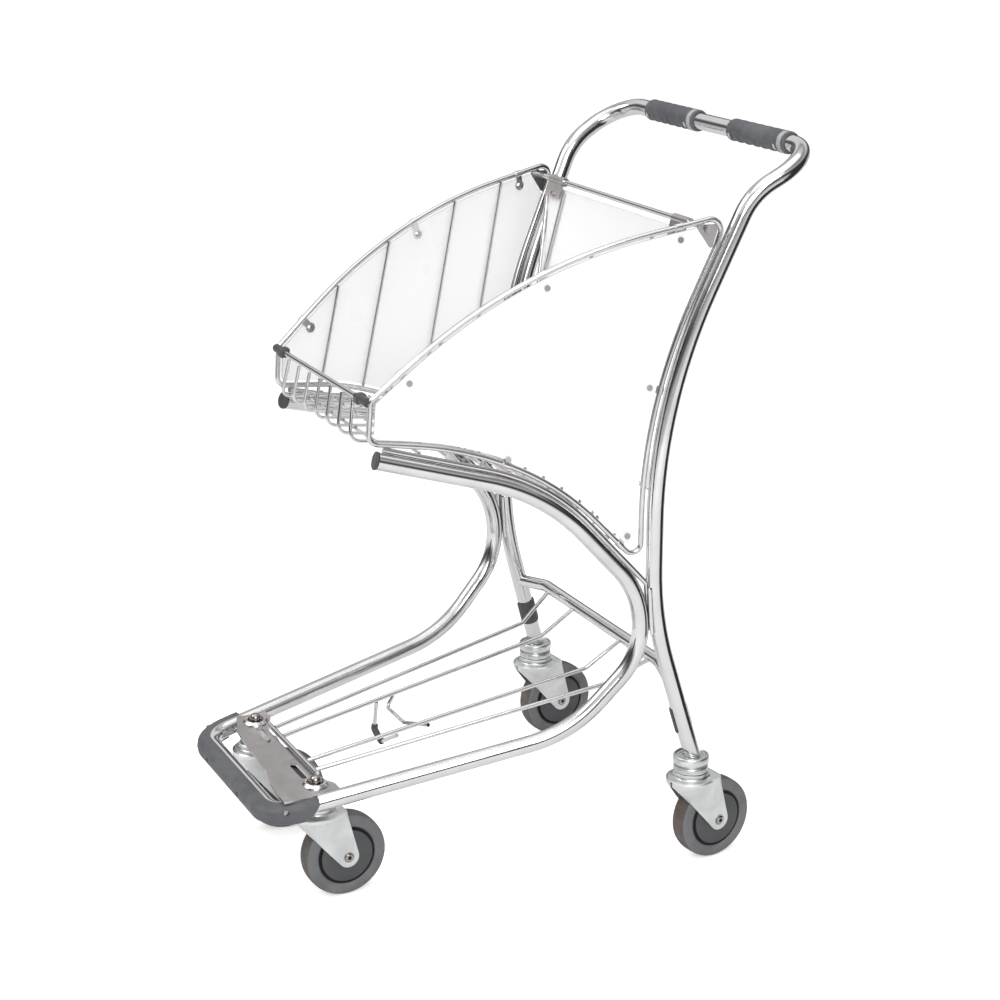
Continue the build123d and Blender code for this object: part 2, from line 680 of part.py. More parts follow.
def gate():
    """Gate hung from the rod by two eyes; built hanging straight down, then leaned forward."""
    place = Pos(0, HINGE_Y, HINGE_Z) * Rot(-math.degrees(math.atan(GATE_LEAN)), 0, 0)
    wire_y = -1.4
    corners = [
        (GATE_TOP_HALF, -GATE_TOP_DROP),
        (GATE_LOW_HALF, -GATE_LENGTH),
        (-GATE_LOW_HALF, -GATE_LENGTH),
        (-GATE_TOP_HALF, -GATE_TOP_DROP),
    ]
    plane = Plane(origin=(0, wire_y, 0), x_dir=(1, 0, 0), z_dir=(0, -1, 0))
    outline = plane.location * FilletPolyline(*corners, radius=14)
    frame_wire = rod(outline, GATE_WIRE_R)
    brace_ends = [(x, wire_y, -drop) for x, drop in GATE_BRACE]
    brace = bar_between(*brace_ends, GATE_WIRE_R) - frame_wire
    brace = max(brace.solids(), key=lambda piece: piece.volume)
    board_y = wire_y + GATE_WIRE_R
    inner, outer = HANGER_X
    middle = (inner + outer) / 2
    plate_t = 2.0
    plate_front = wire_y - GATE_WIRE_R - plate_t
    eye = disc((inner, 0, 0), (1, 0, 0), EYE_R, outer - inner)
    plate = Pos(middle, plate_front + plate_t / 2, -15) * Box(outer - inner, plate_t, 22)
    bore = disc((inner - 1, 0, 0), (1, 0, 0), HINGE_ROD_R + RUNNING_GAP, outer - inner + 2)
    screw_z = -21.5
    shank = disc((middle, plate_front, screw_z), (0, 1, 0), 2.0, board_y + GATE_BOARD_T - plate_front)
    head = disc((middle, plate_front - 2.4, screw_z), (0, 1, 0), 4.6, 2.4)
    nut = hexagon((middle, board_y + GATE_BOARD_T, screw_z), (0, 1, 0), 8, 3)
    hanger = eye + plate - bore - shank
    margin = 2.0
    sheet = [
        (GATE_TOP_HALF - margin, -12),
        (GATE_LOW_HALF - margin, -GATE_LENGTH + margin),
        (-GATE_LOW_HALF + margin, -GATE_LENGTH + margin),
        (-GATE_TOP_HALF + margin, -12),
    ]
    sheet_face = fillet(make_face(Polyline(*sheet, close=True)).vertices(), 12)
    sheet_plane = Plane(origin=(0, board_y + GATE_BOARD_T, 0), x_dir=(1, 0, 0), z_dir=(0, -1, 0))
    board = extrude(sheet_plane * sheet_face, amount=GATE_BOARD_T)
    for piece in both(shank):
        board -= piece
    save("gate_frame", place * frame_wire, *[place * piece for piece in both(brace)])
    save("gate_board", place * board)
    save("gate_hangers", *[place * piece for piece in both(hanger)])
    save("gate_screws", *[place * piece for piece in both(shank + head + nut)])


# ---------------------------------------------------------------- casters
CROWN_Z = 128.0
CROWN_T = 3.0
CROWN_R = 37.0
HEAD_R = 26.0
FORK_INNER_HALF = 19.5
FORK_SHEET = 2.5
FORK_FOOT_R = 16.0
AXLE_BOLT_R = 4.0
SLEEVE_R = 6.5
CORE_R = 41.0
CASTERS = {
    "front_left": (FRONT_AXIS_X, FRONT_AXIS_Y, 1.7),
    "front_right": (-FRONT_AXIS_X, FRONT_AXIS_Y, -7.8),
    "rear_left": (side_x(REAR_AXIS_Y), REAR_AXIS_Y, 7.4),
    "rear_right": (-side_x(REAR_AXIS_Y), REAR_AXIS_Y, 5.7),
}


def fork():
    """Pressed fork: bearing cup, crown and two side plates that trail back to the axle."""
    cup_profile = [
        (KINGPIN_R + RUNNING_GAP, CROWN_Z),
        (CROWN_R - 2, CROWN_Z),
        (CROWN_R, CROWN_Z + 2),
        (CROWN_R - 1, CROWN_Z + 5),
        (HEAD_R + 1, CROWN_Z + 10),
        (HEAD_R, CROWN_Z + 11),
        (HEAD_R, CASTER_TOP_Z - 0.6),
        (HEAD_R - 4, CASTER_TOP_Z - 0.6),
        (HEAD_R - 4, CROWN_Z + CROWN_T + 1),
        (KINGPIN_R + RUNNING_GAP, CROWN_Z + CROWN_T + 1),
    ]
    cup = revolve(Plane.XZ * make_face(Polyline(*cup_profile, close=True)), Axis.Z)
    side_plane = Plane(origin=(FORK_INNER_HALF, 0, 0), x_dir=(0, 1, 0), z_dir=(1, 0, 0))
    foot = Pos(CASTER_TRAIL, WHEEL_R) * Circle(FORK_FOOT_R)
    top = Polyline((-27, CROWN_Z + CROWN_T), (37, CROWN_Z + CROWN_T), (37, CROWN_Z), (-29, CROWN_Z), close=True)
    plate = extrude(side_plane * make_hull(foot.edges() + top.edges()), amount=FORK_SHEET)
    plate -= disc((0, CASTER_TRAIL, WHEEL_R), (1, 0, 0), AXLE_BOLT_R, 60)
    half = FORK_INNER_HALF + FORK_SHEET
    roof = Pos(0, 14, CROWN_Z + CROWN_T / 2) * Box(2 * half, 46, CROWN_T)
    roof -= Pos(0, 0, CROWN_Z) * Cylinder(KINGPIN_R + RUNNING_GAP, 40)
    return cup + roof + plate + mirrored(plate)


def wheel_face(profile):
    """A turned part about the wheel's axle, from (distance across, radius) points."""
    face = make_face(Polyline(*profile, close=True))
    turned = revolve(face, Axis.X)
    return Pos(0, CASTER_TRAIL, WHEEL_R) * turned


def tyre():
    half = WHEEL_WIDTH / 2
    profile = [
        (-half + 1, CORE_R),
        (-half, CORE_R + 3),
        (-half, WHEEL_R - 4.5),
        (-half + 1.0, WHEEL_R - 1.9),
        (-half + 2.8, WHEEL_R - 0.5),
        (-half + 5.0, WHEEL_R),
    ]
    profile += [(-x, r) for x, r in reversed(profile)]
    return wheel_face(profile)


def wheel_core():
    """Moulded core: flat side discs with a groove at their rim, and a hub over the sleeve."""
    half = WHEEL_WIDTH / 2
    bore = SLEEVE_R + RUNNING_GAP
    profile = [
        (-FORK_INNER_HALF + 0.6, bore),
        (-FORK_INNER_HALF + 0.6, 12),
        (-half - 1.0, 13.5),
        (-half - 0.6, 36.5),
        (-half + 3, 37),
        (-half + 3, 39.5),
        (-half + 1, CORE_R),
    ]
    profile += [(-x, r) for x, r in reversed(profile)]
    return wheel_face(profile)


def axle_sleeve():
    half = FORK_INNER_HALF
    return wheel_face([(-half, AXLE_BOLT_R), (half, AXLE_BOLT_R), (half, SLEEVE_R), (-half, SLEEVE_R)])


def axle_bolt():
    half = FORK_INNER_HALF + FORK_SHEET
    centre_y, centre_z = CASTER_TRAIL, WHEEL_R
    shank = disc((-half, centre_y, centre_z), (1, 0, 0), AXLE_BOLT_R, 2 * half)
    head = disc((half, centre_y, centre_z), (1, 0, 0), 7.2, 3.2)
    head = fillet(head.faces().sort_by(Axis.X)[-1].edges(), 1.5)
    head -= hexagon((half + 1.2, centre_y, centre_z), (1, 0, 0), 5, 3)
    nut = hexagon((-half, centre_y, centre_z), (-1, 0, 0), 13, 6.5)
    return shank + head + nut


def casters():
    for name, (x, y, turn) in CASTERS.items():
        place = Pos(x, y, 0) * Rot(0, 0, turn)
        save(f"fork_{name}", place * fork())
        save(f"axle_bolt_{name}", place * axle_bolt())
        save(f"axle_sleeve_{name}", place * axle_sleeve())
        save(f"wheel_core_{name}", place * wheel_core())
        save(f"tyre_{name}", place * tyre())


def caster_mounts():
    """Kingpins, their bearings, the threaded rear collars and the plain front collars."""
    pins, bearings, collars = [], [], []
    for name, (x, y, _) in CASTERS.items():
        front = name.startswith("front")
        pin_top = PLATE_TOP_Z + CUP_FLOOR_T + 8 if front else CASTER_TOP_Z + 6
        pin = disc((x, y, CROWN_Z - 6), (0, 0, 1), KINGPIN_R, pin_top - CROWN_Z + 6)
        pin += disc((x, y, CROWN_Z - 6), (0, 0, 1), 10, 5.6)
        pins.append(pin)
        race_low, race_high = CROWN_Z + CROWN_T + 1.6, CASTER_TOP_Z
        race = disc((x, y, race_low), (0, 0, 1), HEAD_R - 5, race_high - race_low)
        race -= disc((x, y, race_low), (0, 0, 1), KINGPIN_R, race_high - race_low)
        bearings.append(race)
        if front:
            collar = disc((x, y, CASTER_TOP_Z), (0, 0, 1), 21, PLATE_TOP_Z - PLATE_T - CASTER_TOP_Z)
            collar -= disc((x, y, CASTER_TOP_Z), (0, 0, 1), KINGPIN_R, 60)
        else:
            collar = disc((x, y, CASTER_TOP_Z), (0, 0, 1), HEAD_R + 0.5, COLLAR_TOP_Z - CASTER_TOP_Z)
            collar = fillet(collar.faces().sort_by(Axis.Z)[-1].edges(), 4)
            collar -= disc((x, y, CASTER_TOP_Z), (0, 0, 1), KINGPIN_R, 6)
            collar = collar - leg_solid - mirrored(leg_solid)
        collars.append(max(collar.solids(), key=lambda piece: piece.volume))
    save("kingpins", *pins)
    save("swivel_bearings", *bearings)
    save("caster_collars", *collars)


frame_tubes()
crossbar()
frame_welds()
tube_end_caps()
leg_clips()
grips()
bumper()
front_plate()
front_caster_hardware()
deck_rods()
deck_cross_wire()
deck_hooks()
side_loops()
side_wires()
side_boards()
floor_wires()
front_rail()
hinge_parts()
gate()
casters()
caster_mounts()
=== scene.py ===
import json
import math

import bmesh
import bpy
from mathutils import Matrix, Vector


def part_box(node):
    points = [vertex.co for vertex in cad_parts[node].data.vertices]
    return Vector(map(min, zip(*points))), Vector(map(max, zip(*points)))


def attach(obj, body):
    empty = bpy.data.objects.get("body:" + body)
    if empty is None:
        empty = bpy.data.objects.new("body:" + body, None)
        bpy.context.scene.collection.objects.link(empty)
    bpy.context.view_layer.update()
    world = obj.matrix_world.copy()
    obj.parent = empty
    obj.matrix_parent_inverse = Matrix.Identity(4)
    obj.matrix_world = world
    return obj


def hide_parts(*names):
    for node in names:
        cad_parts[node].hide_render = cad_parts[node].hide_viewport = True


# Looks of the luggage trolley. Units are metres, in the shared frame: +Z up, -Y is the front and
# +X is the user's left. Profiles and sizes marked as millimetres are scaled by MM.

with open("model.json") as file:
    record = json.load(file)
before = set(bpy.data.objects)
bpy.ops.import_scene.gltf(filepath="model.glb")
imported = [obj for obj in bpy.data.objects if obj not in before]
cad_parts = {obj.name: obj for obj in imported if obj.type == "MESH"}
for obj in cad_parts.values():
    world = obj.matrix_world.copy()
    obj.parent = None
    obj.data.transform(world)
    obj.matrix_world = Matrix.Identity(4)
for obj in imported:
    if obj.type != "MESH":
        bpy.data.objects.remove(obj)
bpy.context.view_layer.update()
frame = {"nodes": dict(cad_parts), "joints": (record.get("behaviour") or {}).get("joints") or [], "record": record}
NODES = frame["nodes"]
JOINTS = {joint["name"]: joint for joint in frame["joints"]}
SLOT_OF = {part["node"]: part["material_slot"] for part in frame["record"]["subparts"]}
CASTER_NAMES = ("front_left", "front_right", "rear_left", "rear_right")
MM = 0.001

# ---------------------------------------------------------------- materials
# a Mix node has sockets of every type under the same names; these are the ones it uses for colours
MIX_FACTOR, MIX_FIRST, MIX_SECOND, MIX_RESULT = 0, 6, 7, 2
NOISE_MIDDLE = (0.3, 0.7)  # the span that most of a noise texture's values fall in


def new_material(name, color, metallic=0.0, roughness=0.5):
    """A Principled material; returns the material, its node tree and the shader."""
    material = bpy.data.materials.new(name)
    material.use_nodes = True
    tree = material.node_tree
    shader = tree.nodes["Principled BSDF"]
    shader.inputs["Base Color"].default_value = (*color, 1.0)
    shader.inputs["Metallic"].default_value = metallic
    shader.inputs["Roughness"].default_value = roughness
    return material, tree, shader


def node(tree, kind, **values):
    """Adds a node; settings and input values are given by name."""
    made = tree.nodes.new(kind)
    for name, value in values.items():
        if name in made.inputs:
            made.inputs[name].default_value = value
        else:
            setattr(made, name, value)
    return made


def position(tree, scale=(1.0, 1.0, 1.0)):
    """Object coordinates in metres, stretched by scale."""
    coordinates = node(tree, "ShaderNodeTexCoord")
    mapping = node(tree, "ShaderNodeMapping")
    mapping.inputs["Scale"].default_value = scale
    tree.links.new(coordinates.outputs["Object"], mapping.inputs["Vector"])
    return mapping.outputs["Vector"]


def noise(tree, vector, scale, detail=3.0, roughness=0.5, distortion=0.0):
    """A noise factor read at vector."""
    made = node(tree, "ShaderNodeTexNoise", Scale=scale, Detail=detail, Roughness=roughness,
                Distortion=distortion)
    tree.links.new(vector, made.inputs["Vector"])
    return made.outputs["Fac"]


def spread(tree, factor, low, high):
    """Maps the middle of a noise factor to the span from low to high."""
    made = node(tree, "ShaderNodeMapRange")
    made.inputs["From Min"].default_value = NOISE_MIDDLE[0]
    made.inputs["From Max"].default_value = NOISE_MIDDLE[1]
    made.inputs["To Min"].default_value = low
    made.inputs["To Max"].default_value = high
    tree.links.new(factor, made.inputs["Value"])
    return made.outputs["Result"]


def blend_colors(tree, factor, first, second):
    """Mixes two colours, each given as a tuple or as an output socket."""
    made = node(tree, "ShaderNodeMix", data_type="RGBA")
    for socket, value in ((MIX_FIRST, first), (MIX_SECOND, second)):
        if isinstance(value, tuple):
            made.inputs[socket].default_value = (*value, 1.0)
        else:
            tree.links.new(value, made.inputs[socket])
    tree.links.new(factor, made.inputs[MIX_FACTOR])
    return made.outputs[MIX_RESULT]


def shade(color, factor, lift=0.0):
    """A colour made darker or lighter."""
    return tuple(min(1.0, channel * factor + lift) for channel in color)


def paint(tree, shader, color, roughness):
    """Drives the shader's colour and roughness from two output sockets."""
    tree.links.new(color, shader.inputs["Base Color"])
    tree.links.new(roughness, shader.inputs["Roughness"])


def bump(tree, shader, height, strength, distance, under=None):
    """Adds relief of a given depth, laid over the relief under it."""
    made = node(tree, "ShaderNodeBump", Strength=strength, Distance=distance)
    tree.links.new(height, made.inputs["Height"])
    if under is not None:
        tree.links.new(under, made.inputs["Normal"])
    tree.links.new(made.outputs["Normal"], shader.inputs["Normal"])
    return made.outputs["Normal"]


def polished_steel(name, color, roughness):
    """Bright drawn stainless: soft smears, fine scratches and faint handling marks."""
    material, tree, shader = new_material(name, color, metallic=1.0)
    place = position(tree)
    smear = noise(tree, place, 14.0, detail=4.0, distortion=0.6)
    scratch = noise(tree, position(tree, (900.0, 900.0, 40.0)), 1.0, detail=2.0)
    base = blend_colors(tree, spread(tree, smear, 0.0, 1.0), color, shade(color, 0.86))
    paint(tree, shader, base, spread(tree, smear, *roughness))
    bump(tree, shader, scratch, 0.04, 0.2 * MM)
    return material


def worn_rubber(name, color, roughness=(0.5, 0.72), stain=None, grain=900.0):
    """Moulded rubber: fine pebbled grain, scuffs, and dirt worked into the surface."""
    material, tree, shader = new_material(name, color)
    place = position(tree)
    cloud = noise(tree, place, 22.0, detail=6.0, roughness=0.65, distortion=0.4)
    scuff = noise(tree, position(tree, (60.0, 60.0, 220.0)), 1.0, detail=4.0)
    pebbles = noise(tree, place, grain, detail=2.0)
    base = blend_colors(tree, spread(tree, cloud, 0.0, 1.0), shade(color, 0.78), shade(color, 1.16, 0.01))
    if stain is not None:
        patch = noise(tree, place, 34.0, detail=5.0, distortion=1.1)
        base = blend_colors(tree, spread(tree, patch, -0.2, 0.9), base, stain)
    paint(tree, shader, base, spread(tree, scuff, *roughness))
    fine = bump(tree, shader, pebbles, 0.22, 0.4 * MM)
    bump(tree, shader, scuff, 0.12, 0.6 * MM, under=fine)
    return material


def moulded_plastic(name, color, roughness=(0.32, 0.5)):
    """Moulded plastic: faint spark-eroded texture, flow variation and rubbed spots."""
    material, tree, shader = new_material(name, color)
    place = position(tree)
    cloud = noise(tree, place, 30.0, detail=5.0, distortion=0.5)
    texture = noise(tree, place, 1400.0, detail=2.0)
    base = blend_colors(tree, spread(tree, cloud, 0.0, 1.0), shade(color, 0.86), shade(color, 1.1, 0.004))
    paint(tree, shader, base, spread(tree, cloud, *roughness))
    bump(tree, shader, texture, 0.16, 0.3 * MM)
    return material


def satin_plate(name, color, stain, roughness=(0.24, 0.4)):
    """Rolled or plated sheet: directional brushing, cloudy stains and small pits."""
    material, tree, shader = new_material(name, color, metallic=1.0)
    brushed = noise(tree, position(tree, (30.0, 700.0, 700.0)), 1.0, detail=3.0)
    cloud = noise(tree, position(tree), 26.0, detail=6.0, roughness=0.6, distortion=0.8)
    pits = noise(tree, position(tree), 420.0, detail=3.0)
    base = blend_colors(tree, spread(tree, cloud, 0.0, 1.0), color, stain)
    paint(tree, shader, base, spread(tree, cloud, *roughness))
    fine = bump(tree, shader, brushed, 0.1, 0.3 * MM)
    bump(tree, shader, pits, 0.05, 0.4 * MM, under=fine)
    return material


def laminate_board(name):
    """White laminated board: nearly clean, with a soft sheen, faint clouds and rub marks."""
    material, tree, shader = new_material(name, (0.96, 0.96, 0.96))
    cloud = noise(tree, position(tree), 5.0, detail=5.0, roughness=0.6)
    rubs = noise(tree, position(tree, (14.0, 14.0, 14.0)), 1.0, detail=4.0)
    peel = noise(tree, position(tree), 260.0, detail=2.0)
    base = blend_colors(tree, spread(tree, cloud, 0.0, 1.0), (0.975, 0.975, 0.975), (0.945, 0.945, 0.94))
    paint(tree, shader, base, spread(tree, rubs, 0.26, 0.42))
    bump(tree, shader, peel, 0.04, 0.3 * MM)
    return material


MATERIALS = {
    "polished_tube": polished_steel("polished_tube", (0.78, 0.775, 0.78), (0.08, 0.17)),
    "polished_wire": polished_steel("polished_wire", (0.74, 0.725, 0.735), (0.1, 0.2)),
    "brushed_plate": satin_plate("brushed_plate", (0.6, 0.575, 0.57), (0.5, 0.475, 0.47)),
    "zinc_plate": satin_plate("zinc_plate", (0.8, 0.81, 0.81), (0.66, 0.68, 0.68), (0.26, 0.42)),
    "dark_plastic": moulded_plastic("dark_plastic", (0.06, 0.065, 0.065)),
    "grey_rubber": worn_rubber("grey_rubber", (0.105, 0.11, 0.12)),
    "light_plastic": moulded_plastic("light_plastic", (0.42, 0.43, 0.44), (0.2, 0.3)),
    "white_board": laminate_board("white_board"),
    "hub_plastic": moulded_plastic("hub_plastic", (0.072, 0.074, 0.078), (0.4, 0.55)),
    "tyre_rubber": worn_rubber("tyre_rubber", (0.17, 0.172, 0.178)),
}
TREAD = worn_rubber("tyre_tread", (0.13, 0.125, 0.12), (0.55, 0.8), stain=(0.1, 0.066, 0.052), grain=600.0)
# near-black paint for the wheels' ring grooves and the bolts' head recesses: painted shade
GROOVE_SHADE = moulded_plastic("groove_painted_shade", (0.008, 0.008, 0.008), (0.5, 0.6))
GRIP_RUBBER = worn_rubber("grip_rubber", (0.1, 0.104, 0.115), (0.45, 0.65), grain=1200.0)
BOLT_STEEL = satin_plate("bolt_steel", (0.5, 0.49, 0.47), (0.36, 0.34, 0.32), (0.16, 0.28))
# the dome nuts are a darker steel than the rest: painted reflection of the dark surroundings that the domes mirror
DARKENED_DOME_STEEL = polished_steel("dome_steel_painted_dark", (0.42, 0.37, 0.34), (0.04, 0.09))
# light grey paint on the grips' small pads: a painted highlight
PAINTED_HIGHLIGHT = moulded_plastic("grip_highlight_pad", (0.6, 0.62, 0.64), (0.25, 0.35))
for name, obj in NODES.items():
    obj.data.materials.clear()
    obj.data.materials.append(MATERIALS[SLOT_OF[name]])
FASTENERS = {
    "dome_nuts": DARKENED_DOME_STEEL,
    "board_screws": BOLT_STEEL,
    "gate_screws": BOLT_STEEL,
    "bumper_screws": BOLT_STEEL,
}
for name, finish in FASTENERS.items():
    NODES[name].data.materials[0] = finish


# ---------------------------------------------------------------- mesh tools
POINT_GAP = 0.001 * MM  # points of a built mesh closer than this are one point
VERTEX_GAP = 0.01 * MM  # the same for points of a CAD node's mesh


def merge_points(mesh, gap):
    """Merges points closer than gap and turns the faces outwards."""
    made = bmesh.new()
    made.from_mesh(mesh)
    bmesh.ops.remove_doubles(made, verts=made.verts, dist=gap)
    bmesh.ops.recalc_face_normals(made, faces=made.faces)
    made.to_mesh(mesh)
    made.free()


def fill_holes(mesh):
    """Closes the open ends of a mesh and turns the faces outwards."""
    made = bmesh.new()
    made.from_mesh(mesh)
    bmesh.ops.holes_fill(made, edges=[edge for edge in made.edges if edge.is_boundary])
    bmesh.ops.recalc_face_normals(made, faces=made.faces)
    made.to_mesh(mesh)
    made.free()


def link_mesh(name, vertices, faces, material):
    """A smooth mesh object with its doubled points merged and its faces turned outwards."""
    mesh = bpy.data.meshes.new(name)
    mesh.from_pydata([tuple(v) for v in vertices], [], faces)
    mesh.validate()
    merge_points(mesh, POINT_GAP)
    mesh.materials.append(material)
    for polygon in mesh.polygons:
        polygon.use_smooth = True
    obj = bpy.data.objects.new(name, mesh)
    bpy.context.scene.collection.objects.link(obj)
    return obj


def grid(name, rows, material, close_rows=False, close_columns=False):
    """A mesh through rows of points; every row has the same number of points."""
    width = len(rows[0])
    vertices = [point for row in rows for point in row]
    faces = []
    for i in range(len(rows) if close_columns else len(rows) - 1):
        this, after = i * width, (i + 1) % len(rows) * width
        for j in range(width if close_rows else width - 1):
            beside = (j + 1) % width
            faces.append((this + j, this + beside, after + beside, after + j))
    return link_mesh(name, vertices, faces, material)


def circle(steps):
    """The cosine and sine at each of a circle's steps."""
    turns = [2 * math.pi * k / steps for k in range(steps)]
    return [(math.cos(turn), math.sin(turn)) for turn in turns]


def turned(name, profile, material, segments=96):
    """A closed (along, radius) profile turned about the local X axis."""
    rows = []
    for along, radius in profile:
        rows.append([Vector((along, radius * cos, radius * sin)) for cos, sin in circle(segments)])
    return grid(name, rows, material, close_rows=True, close_columns=True)


def keep_sharp(obj, degrees):
    """Edges that turn by more than an angle stay crisp beside smooth faces."""
    obj.data.set_sharp_from_angle(angle=math.radians(degrees))


def modifier(obj, kind, **settings):
    """Adds a modifier with the given settings."""
    made = obj.modifiers.new(kind.lower(), kind)
    for name, value in settings.items():
        setattr(made, name, value)


def second_material(obj, material, chosen):
    """Gives a second material to the faces chosen by their centre and distance from the X axis."""
    obj.data.materials.append(material)
    for polygon in obj.data.polygons:
        radius = math.hypot(polygon.center.y, polygon.center.z)
        polygon.material_index = 1 if chosen(polygon.center, radius) else 0


def put(obj, body, slot, *nodes):
    """Sets what a new piece rides on and hides the CAD nodes it stands for; slot, the finish it takes, is not
    used.
    """
    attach(obj, body)
    if nodes:
        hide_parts(*nodes)


def islands(name):
    """Boxes of the separate solids of one CAD node, as (low, high) corners."""
    made = bmesh.new()
    made.from_mesh(NODES[name].data)
    bmesh.ops.remove_doubles(made, verts=made.verts, dist=VERTEX_GAP)
    seen, boxes = set(), []
    for start in made.verts:
        if start in seen:
            continue
        stack, group = [start], []
        seen.add(start)
        while stack:
            vertex = stack.pop()
            group.append(vertex.co.copy())
            for edge in vertex.link_edges:
                other = edge.other_vert(vertex)
                if other not in seen:
                    seen.add(other)
                    stack.append(other)
        boxes.append(tuple(Vector([pick(p[i] for p in group) for i in range(3)]) for pick in (min, max)))
    made.free()
    return sorted(boxes, key=lambda box: box[0].x)


def joined(name, objects):
    """One object that holds the meshes of several."""
    made = bmesh.new()
    materials = []
    for obj in objects:
        for material in obj.data.materials:
            if material not in materials:
                materials.append(material)
    for obj in objects:
        slots = [materials.index(material) for material in obj.data.materials]
        first = len(made.faces)
        made.from_mesh(obj.data)
        made.faces.ensure_lookup_table()
        for face in made.faces[first:]:
            face.material_index = slots[face.material_index]
    mesh = bpy.data.meshes.new(name)
    made.to_mesh(mesh)
    made.free()
    for material in materials:
        mesh.materials.append(material)
    for obj in objects:
        bpy.data.objects.remove(obj)
    whole = bpy.data.objects.new(name, mesh)
    bpy.context.scene.collection.objects.link(whole)
    return whole


def wheel_place(name):
    """The frame of one wheel: local X along its axle, Z up."""
    joint = JOINTS[f"spin_{name}"]
    turn = math.atan2(joint["axis"][1], joint["axis"][0])
    return Matrix.Translation(joint["pos_m"]) @ Matrix.Rotation(turn, 4, "Z")


def caster_place(name):
    """The frame of one caster: its kingpin on Z, the wheel trailing along +Y."""
    joint = JOINTS[f"spin_{name}"]
    turn = math.atan2(joint["axis"][1], joint["axis"][0])
    x, y, _ = JOINTS[f"swivel_{name}"]["pos_m"]
    return Matrix.Translation((x, y, 0)) @ Matrix.Rotation(turn, 4, "Z")


# ---------------------------------------------------------------- wheels
# half sections as (distance from the wheel's middle, radius) in millimetres
TYRE_PROFILE = [
    (14.0, 44.1), (15.4, 45.6), (15.9, 48.0), (15.9, 54.5), (15.5, 57.6), (14.4, 59.9), (12.6, 61.3),
    (10.0, 62.0), (5.0, 62.4), (0.0, 62.5),
]
CORE_PROFILE = [
    (18.8, 6.6), (18.8, 11.4), (18.2, 12.2), (16.9, 12.9), (16.6, 14.0), (16.3, 38.6), (15.9, 39.6),
    (13.6, 40.3), (12.4, 41.2), (12.8, 42.6), (14.2, 43.4), (14.2, 44.0),
]
TREAD_R = 61.0 * MM  # the brown tread starts here
SHADED_GROOVE_R = 39.4 * MM  # the ring groove, painted near black as shade, starts here


def in_metres(profile):
    """A profile given in millimetres, in metres."""
    return [(along * MM, radius * MM) for along, radius in profile]


def tyre(name):
    """Rubber ring with a worn brown tread."""
    half = in_metres(TYRE_PROFILE)
    profile = half + [(-across, radius) for across, radius in reversed(half[:-1])]
    ring = turned(f"tyre_ring_{name}", profile, MATERIALS["tyre_rubber"])
    second_material(ring, TREAD, lambda centre, radius: radius > TREAD_R)
    ring.data.transform(wheel_place(name))
    put(ring, f"wheel_{name}", "tyre_rubber", f"tyre_{name}")


def wheel_disc(name):
    """Plastic disc and hub with a ring groove just inside the tyre, painted near black as shade."""
    half = in_metres(CORE_PROFILE)
    profile = [(-across, radius) for across, radius in half] + list(reversed(half))
    disc = turned(f"wheel_disc_{name}", profile, MATERIALS["hub_plastic"])
    second_material(disc, GROOVE_SHADE, lambda centre, radius: radius > SHADED_GROOVE_R)
    disc.data.transform(wheel_place(name))
    keep_sharp(disc, 30)
    put(disc, f"wheel_{name}", "hub_plastic", f"wheel_core_{name}")


# ---------------------------------------------------------------- forks
# all in millimetres, in the caster's own frame: the kingpin on Z and the wheel trailing along +Y
RIM_R, RIM_Z = 36.5, 134.6
RIM_START = math.radians(-86)  # the rim's first point, almost at the middle of the front
RIM_STEPS = 26
CORNER_START = 0.72  # share of the rim after which it leaves the circle for the rear corner
REAR_CORNER = (25.0, 37.0, 138.6)
REAR_STEPS = 10
LIP_DROP = 6.5  # how far the rim is turned down at the front
LIP_TAPER = 1.5  # how quickly that drop runs out towards the rear
LIP_EDGE = 0.4  # the drop that is left at the rear
TRAIL, AXLE_Z = 40.0, 62.5
FOOT_R = 16.0  # round end of each side, about the axle
FOOT_X = 22.0  # the flat of each side, from the wheel's middle
SIDE_LEVELS = 22
SIDE_FLARE = 2.6  # how tightly the flat curves out to the rim; higher is tighter
# (radius, height) from the swivel head down to the crown
NECK = [
    (21.5, 146.2), (25.3, 146.2), (26.0, 145.5), (26.0, 143.2), (25.2, 142.8), (25.2, 141.9),
    (26.0, 141.5), (26.2, 140.2), (27.0, 138.8), (29.0, 137.6),
]
CROWN_SHARES = (0.35, 0.7, 0.88)  # rows between the neck and the rim
CROWN_LIFT = 0.9  # how far the crown bulges between them
SEAM_GAP = 0.02 * MM  # the sheets of one fork are merged where they are closer than this
SHEET, SHEET_EDGE = 2.4 * MM, 0.5 * MM


def fork_rim():
    """Near half of the crown's rim from the front to the rear corner."""
    points = []
    corner_angle = math.atan2(REAR_CORNER[1], REAR_CORNER[0])
    corner_reach = math.hypot(REAR_CORNER[0], REAR_CORNER[1])
    for k in range(RIM_STEPS + 1):
        share = k / RIM_STEPS
        angle = RIM_START + (corner_angle - RIM_START) * share
        late = max(0.0, (share - CORNER_START) / (1 - CORNER_START))
        ease = late * late * (3 - 2 * late)
        reach = RIM_R + (corner_reach - RIM_R) * ease
        z = RIM_Z + (REAR_CORNER[2] - RIM_Z) * ease
        points.append(Vector((reach * math.cos(angle), reach * math.sin(angle), z)))
    return points


def lowered(rim):
    """The rim's turned-down edge, deepest at the front."""
    last = len(rim) - 1
    points = []
    for k, p in enumerate(rim):
        drop = LIP_DROP * (1 - k / last) ** LIP_TAPER + LIP_EDGE
        points.append(Vector((p.x, p.y, p.z - drop)))
    return points


def touch_angle(point, side):
    """Where on the round foot a straight edge from a point touches it; side picks one of the two."""
    y, z = point.y - TRAIL, point.z - AXLE_Z
    return math.atan2(z, y) + side * math.acos(FOOT_R / math.hypot(y, z))


